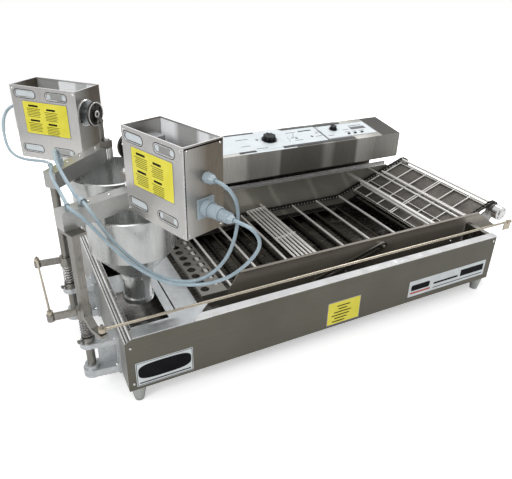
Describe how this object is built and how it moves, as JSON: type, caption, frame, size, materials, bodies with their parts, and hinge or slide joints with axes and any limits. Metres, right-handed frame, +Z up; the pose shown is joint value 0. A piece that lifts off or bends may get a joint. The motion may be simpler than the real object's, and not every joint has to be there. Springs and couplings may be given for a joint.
{
  "type": "automatic donut machine",
  "caption": "Table-top automatic donut fryer with a chain conveyor, a donut turner and two motor-driven batter depositors that swing on posts",
  "frame": {"origin": "middle of the footprint box at the floor under the feet", "axes": "+X runs along the conveyor towards the discharge end, +Y from the front panel to the back, +Z up"},
  "size_m": [1.7555, 1.0005, 0.766],
  "materials": {
    "dark_steel": "satin",
    "bright_steel": "bright brushed",
    "polished_steel": "polished",
    "sheet_steel": "brushed",
    "cast_alloy": "sand cast",
    "dark_iron": "oiled",
    "brass_tone": "dull",
    "black_plastic": "matte",
    "panel_film": "satin film",
    "grey_plastic": "satin",
    "cord_rubber": "satin",
    "motor_paint": "satin"
  },
  "bodies": {
    "machine": {"cabinet": "dark_steel", "kettle": "bright_steel", "front_rim": "polished_steel", "deck_cover": "polished_steel", "feed_plate": "polished_steel", "feet": "sheet_steel", "heating_elements": "dark_iron", "front_side_plate": "sheet_steel", "rear_side_plate": "bright_steel", "chain_rails": "sheet_steel", "tie_rods": "polished_steel", "conveyor_chains": "dark_iron", "flights": "polished_steel", "perforated_guard": "sheet_steel", "exit_grid": "polished_steel", "exit_screen": "dark_steel", "shaft_bearings": "sheet_steel", "control_plinth": "dark_steel", "control_case": "sheet_steel", "control_panel": "panel_film", "post_brackets": "cast_alloy", "post_springs": "polished_steel", "bridge_cords": "cord_rubber"},
    "drive": {"drive_shaft": "bright_steel", "cam_wheel": "bright_steel"},
    "idler": {"idler_shaft": "bright_steel"},
    "turner": {"turner_cradle": "polished_steel"},
    "turner_arm": {"turner_lever": "sheet_steel"},
    "thermostat": {"thermostat_knob": "black_plastic"},
    "speed_dial": {"speed_knob": "black_plastic"},
    "heat_switch": {"heat_toggle": "polished_steel"},
    "motor_switch": {"motor_toggle": "polished_steel"},
    "up_key": {"up_button": "black_plastic"},
    "set_key": {"set_button": "black_plastic"},
    "down_key": {"down_button": "black_plastic"},
    "front_head": {"front_post": "sheet_steel", "front_channel": "bright_steel", "front_box": "sheet_steel", "front_gearmotor": "motor_paint", "front_hopper": "bright_steel", "front_lever": "sheet_steel", "front_cord_fittings": "grey_plastic", "front_plug": "grey_plastic", "front_cord": "cord_rubber", "plug_cord": "cord_rubber"},
    "front_drive": {"front_crank": "dark_iron"},
    "front_piston": {"front_plunger": "polished_steel", "front_conrod": "sheet_steel"},
    "rear_head": {"rear_post": "sheet_steel", "rear_channel": "bright_steel", "rear_box": "sheet_steel", "rear_gearmotor": "motor_paint", "rear_hopper": "bright_steel", "rear_cord_fittings": "grey_plastic", "rear_cord": "cord_rubber"},
    "rear_drive": {"rear_crank": "dark_iron"},
    "rear_piston": {"rear_plunger": "polished_steel", "rear_conrod": "sheet_steel"},
    "link": {"sync_link": "brass_tone"},
    "rod": {"drive_rod": "polished_steel"}
  },
  "joints": [
    {"name": "drive_spin", "type": "hinge", "parent": "machine", "child": "drive", "pos_m": [0.835, 0.06837, 0.254], "axis": [0, 1, 0], "continuous": true},
    {"name": "idler_spin", "type": "hinge", "parent": "machine", "child": "idler", "pos_m": [-0.32476, 0.06837, 0.124], "axis": [0, 1, 0], "continuous": true},
    {"name": "turner_flip", "type": "hinge", "parent": "machine", "child": "turner", "pos_m": [0.065, 0.06837, 0.172], "axis": [0, 1, 0], "range_deg": [0, 150]},
    {"name": "turner_arm_swing", "type": "hinge", "parent": "machine", "child": "turner_arm", "pos_m": [0.25, -0.24663, 0.238], "axis": [0, 1, 0], "range_deg": [0, 6]},
    {"name": "thermostat_turn", "type": "hinge", "parent": "machine", "child": "thermostat", "pos_m": [0.083, 0.3333, 0.47428], "axis": [0, 0.1361, -0.9907], "range_deg": [0, 300]},
    {"name": "speed_turn", "type": "hinge", "parent": "machine", "child": "speed_dial", "pos_m": [0.409, 0.35113, 0.47673], "axis": [0, 0.1361, -0.9907], "range_deg": [0, 280]},
    {"name": "heat_toggle_tilt", "type": "hinge", "parent": "machine", "child": "heat_switch", "pos_m": [0.19, 0.3239, 0.47652], "axis": [1, 0, 0], "range_deg": [-5, 21]},
    {"name": "motor_toggle_tilt", "type": "hinge", "parent": "machine", "child": "motor_switch", "pos_m": [0.316, 0.33876, 0.47856], "axis": [1, 0, 0], "range_deg": [-5, 21]},
    {"name": "up_press", "type": "slide", "parent": "machine", "child": "up_key", "axis": [0, 0.1361, -0.9907], "range_m": [0, 0.0015], "stiffness_N_per_m": 40, "springref_m": -0.001},
    {"name": "set_press", "type": "slide", "parent": "machine", "child": "set_key", "axis": [0, 0.1361, -0.9907], "range_m": [0, 0.0015], "stiffness_N_per_m": 40, "springref_m": -0.001},
    {"name": "down_press", "type": "slide", "parent": "machine", "child": "down_key", "axis": [0, 0.1361, -0.9907], "range_m": [0, 0.0015], "stiffness_N_per_m": 40, "springref_m": -0.001},
    {"name": "front_swing", "type": "hinge", "parent": "machine", "child": "front_head", "pos_m": [-0.78, -0.25463, 0.304], "axis": [0, 0, 1], "range_deg": [-9, 9]},
    {"name": "rear_swing", "type": "hinge", "parent": "machine", "child": "rear_head", "pos_m": [-0.78, 0.03837, 0.304], "axis": [0, 0, 1], "range_deg": [-9, 9]},
    {"name": "link_pivot", "type": "hinge", "parent": "front_head", "child": "link", "pos_m": [-0.863, -0.24863, 0.297], "axis": [0, 0, 1], "range_deg": [-9, 9]},
    {"name": "rod_pivot", "type": "hinge", "parent": "front_head", "child": "rod", "pos_m": [-0.753, -0.35663, 0.282], "axis": [0, 0, 1], "range_deg": [-9, 9]},
    {"name": "front_crank_spin", "type": "hinge", "parent": "front_head", "child": "front_drive", "pos_m": [-0.59514, -0.16606, 0.694], "axis": [-0.342, 0.9397, 0], "continuous": true},
    {"name": "rear_crank_spin", "type": "hinge", "parent": "rear_head", "child": "rear_drive", "pos_m": [-0.61936, 0.1657, 0.694], "axis": [0.6947, -0.7193, 0], "continuous": true},
    {"name": "front_plunger_stroke", "type": "slide", "parent": "front_head", "child": "front_piston", "axis": [0, 0, 1], "range_m": [0, 0.04]},
    {"name": "rear_plunger_stroke", "type": "slide", "parent": "rear_head", "child": "rear_piston", "axis": [0, 0, 1], "range_m": [0, 0.04]}
  ],
  "couplings": [
    {"joint": "idler_spin", "follows": "drive_spin", "ratio": 1.2128},
    {"joint": "turner_arm_swing", "follows": "turner_flip", "ratio": 0.04},
    {"joint": "rear_swing", "follows": "front_swing", "ratio": 1},
    {"joint": "link_pivot", "follows": "front_swing", "ratio": -1},
    {"joint": "rod_pivot", "follows": "front_swing", "ratio": -1}
  ]
}
